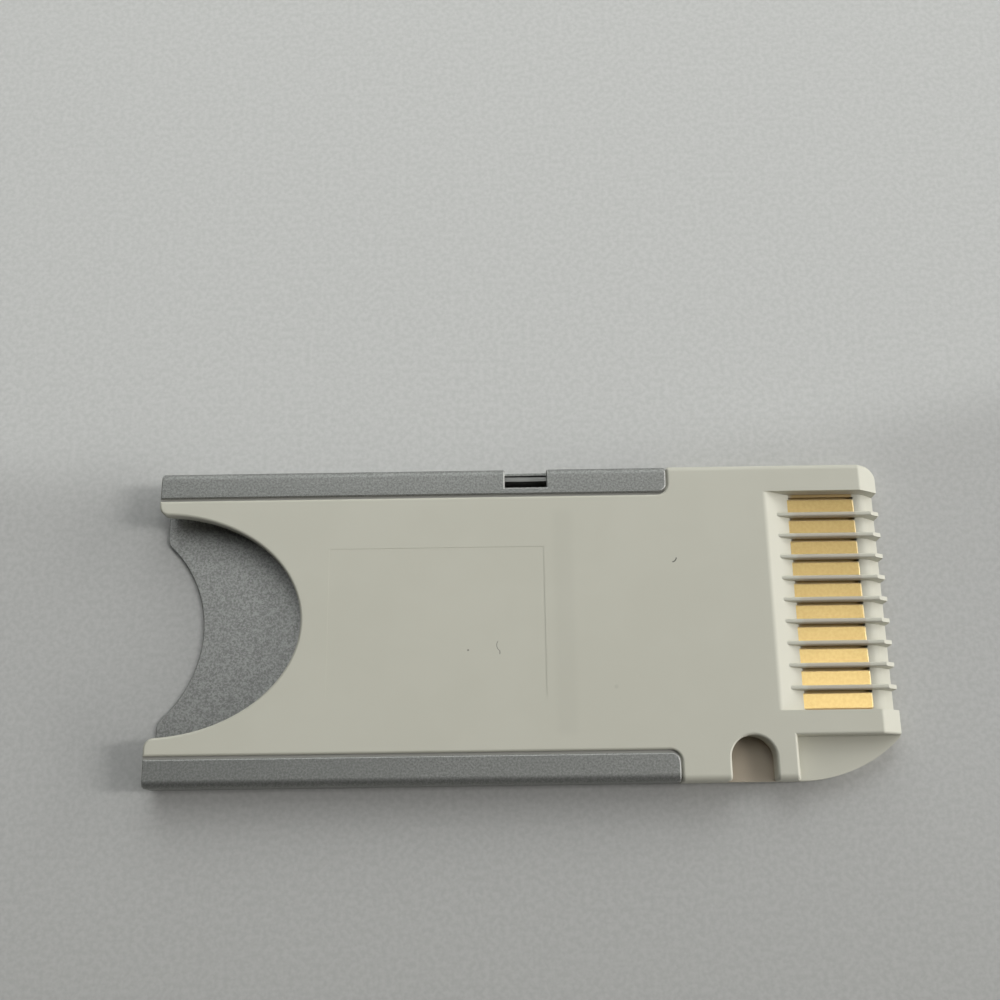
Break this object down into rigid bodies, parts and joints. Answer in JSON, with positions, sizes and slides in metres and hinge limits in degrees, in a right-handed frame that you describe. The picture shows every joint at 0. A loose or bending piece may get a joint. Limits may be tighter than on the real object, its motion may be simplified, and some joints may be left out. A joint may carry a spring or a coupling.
{
  "type": "memory card adapter",
  "caption": "Flat plastic adapter in a folded metal cover that takes a small memory card at the rear and carries its contacts to a ribbed row of gold pads at the front.",
  "frame": {"origin": "middle of the underside, halfway along the length", "axes": "+X towards the contact end that goes into the host, +Z out of the contact face, +Y towards the side with the window"},
  "size_m": [0.05, 0.0216, 0.0028],
  "materials": {
    "white_plastic": "fine matt moulding, warm white",
    "blasted_steel": "bead-blasted satin grey",
    "spring_steel": "satin spring strip",
    "gold_plate": "gold plating, satin"
  },
  "bodies": {
    "root": {"body": "white_plastic", "cover": "blasted_steel", "retention_spring": "spring_steel", "contact_01": "gold_plate", "contact_02": "gold_plate", "contact_03": "gold_plate", "contact_04": "gold_plate", "contact_05": "gold_plate", "contact_06": "gold_plate", "contact_07": "gold_plate", "contact_08": "gold_plate", "contact_09": "gold_plate", "contact_10": "gold_plate"}
  },
  "joints": []
}
